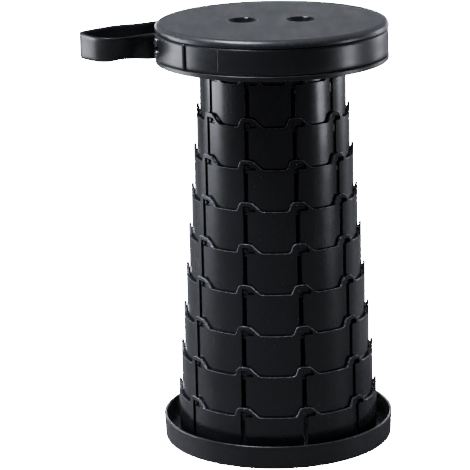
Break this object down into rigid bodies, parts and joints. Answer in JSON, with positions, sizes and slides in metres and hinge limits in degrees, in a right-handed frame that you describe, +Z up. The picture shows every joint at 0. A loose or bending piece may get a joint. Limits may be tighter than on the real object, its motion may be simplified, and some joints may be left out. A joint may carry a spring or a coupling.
{
  "type": "telescopic camp stool",
  "caption": "Round folding camp stool: lid-shaped seat with finger holes and carrying strap on a telescopic column of nested rings in a round tray.",
  "frame": {"origin": "centre of the tray's underside, on the floor", "axes": "+Z up along the column; the strap's loop lies towards -X, the side seen in front is -Y"},
  "size_m": [0.3264, 0.2454, 0.45],
  "materials": {
    "seat_plastic": "satin moulded polypropylene",
    "ring_plastic": "glossy moulded polypropylene",
    "tray_plastic": "satin moulded polypropylene",
    "strap": "soft satin PVC webbing",
    "rivet": "glossy black enamel",
    "screw_steel": "zinc plated"
  },
  "bodies": {
    "base": {"base_tray": "tray_plastic", "base_screws": "screw_steel", "ring_9": "ring_plastic"},
    "tube_8": {"ring_8": "ring_plastic"},
    "tube_7": {"ring_7": "ring_plastic"},
    "tube_6": {"ring_6": "ring_plastic"},
    "tube_5": {"ring_5": "ring_plastic"},
    "tube_4": {"ring_4": "ring_plastic"},
    "tube_3": {"ring_3": "ring_plastic"},
    "tube_2": {"ring_2": "ring_plastic"},
    "tube_1": {"ring_1": "ring_plastic"},
    "seat": {"seat_lid": "seat_plastic", "seat_collar": "ring_plastic", "collar_screws": "screw_steel", "carry_strap": "strap", "strap_rivets": "rivet", "rivet_washers": "screw_steel"}
  },
  "joints": [
    {"name": "ring_8_slide", "type": "slide", "parent": "base", "child": "tube_8", "axis": [0, 0, -1], "range_m": [0, 0.04305]},
    {"name": "ring_7_slide", "type": "slide", "parent": "tube_8", "child": "tube_7", "axis": [0, 0, -1], "range_m": [0, 0.04305]},
    {"name": "ring_6_slide", "type": "slide", "parent": "tube_7", "child": "tube_6", "axis": [0, 0, -1], "range_m": [0, 0.04305]},
    {"name": "ring_5_slide", "type": "slide", "parent": "tube_6", "child": "tube_5", "axis": [0, 0, -1], "range_m": [0, 0.04305]},
    {"name": "ring_4_slide", "type": "slide", "parent": "tube_5", "child": "tube_4", "axis": [0, 0, -1], "range_m": [0, 0.04305]},
    {"name": "ring_3_slide", "type": "slide", "parent": "tube_4", "child": "tube_3", "axis": [0, 0, -1], "range_m": [0, 0.04305]},
    {"name": "ring_2_slide", "type": "slide", "parent": "tube_3", "child": "tube_2", "axis": [0, 0, -1], "range_m": [0, 0.04305]},
    {"name": "ring_1_slide", "type": "slide", "parent": "tube_2", "child": "tube_1", "axis": [0, 0, -1], "range_m": [0, 0.04305]},
    {"name": "seat_slide", "type": "slide", "parent": "tube_1", "child": "seat", "axis": [0, 0, -1], "range_m": [0, 0.0393]}
  ]
}
